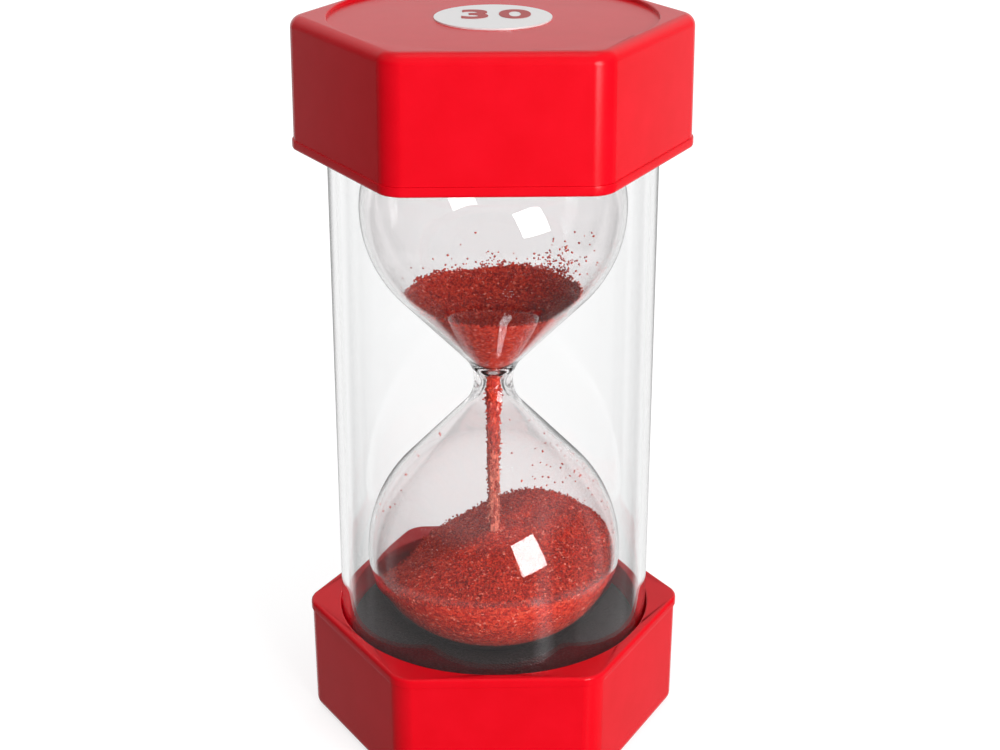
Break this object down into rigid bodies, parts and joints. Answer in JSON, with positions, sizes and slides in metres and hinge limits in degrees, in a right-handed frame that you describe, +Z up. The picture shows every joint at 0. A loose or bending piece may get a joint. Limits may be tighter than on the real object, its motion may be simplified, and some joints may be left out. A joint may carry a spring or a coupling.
{
  "type": "sand timer",
  "caption": "Sand timer: a blown hourglass with red sand, cushioned inside a clear tube between two red six-sided plastic end caps, turned over by hand.",
  "frame": {"origin": "middle of the base, on the surface that the timer stands on", "axes": "+Z up along the axis of the tube, from the lower cap to the upper cap; -Y towards the viewer, square to a flat of the caps; +X to the right, through a corner of the caps"},
  "size_m": [0.0846, 0.0748, 0.1632],
  "materials": {
    "cap_plastic": "satin moulded red plastic",
    "clear_plastic": "polished clear plastic tube",
    "glass": "clear blown glass",
    "stopper_rubber": "matte rubber",
    "pad_foam": "matte black foam",
    "sand": "dry red sand",
    "label_paper": "coated white paper"
  },
  "bodies": {
    "root": {"lower_cap": "cap_plastic", "upper_cap": "cap_plastic", "lower_collar": "cap_plastic", "upper_collar": "cap_plastic", "outer_tube": "clear_plastic", "hourglass": "glass", "fill_stopper": "stopper_rubber", "lower_pad": "pad_foam", "upper_pad": "pad_foam", "upper_sand": "sand", "sand_stream": "sand", "lower_sand": "sand", "label": "label_paper"}
  },
  "joints": []
}
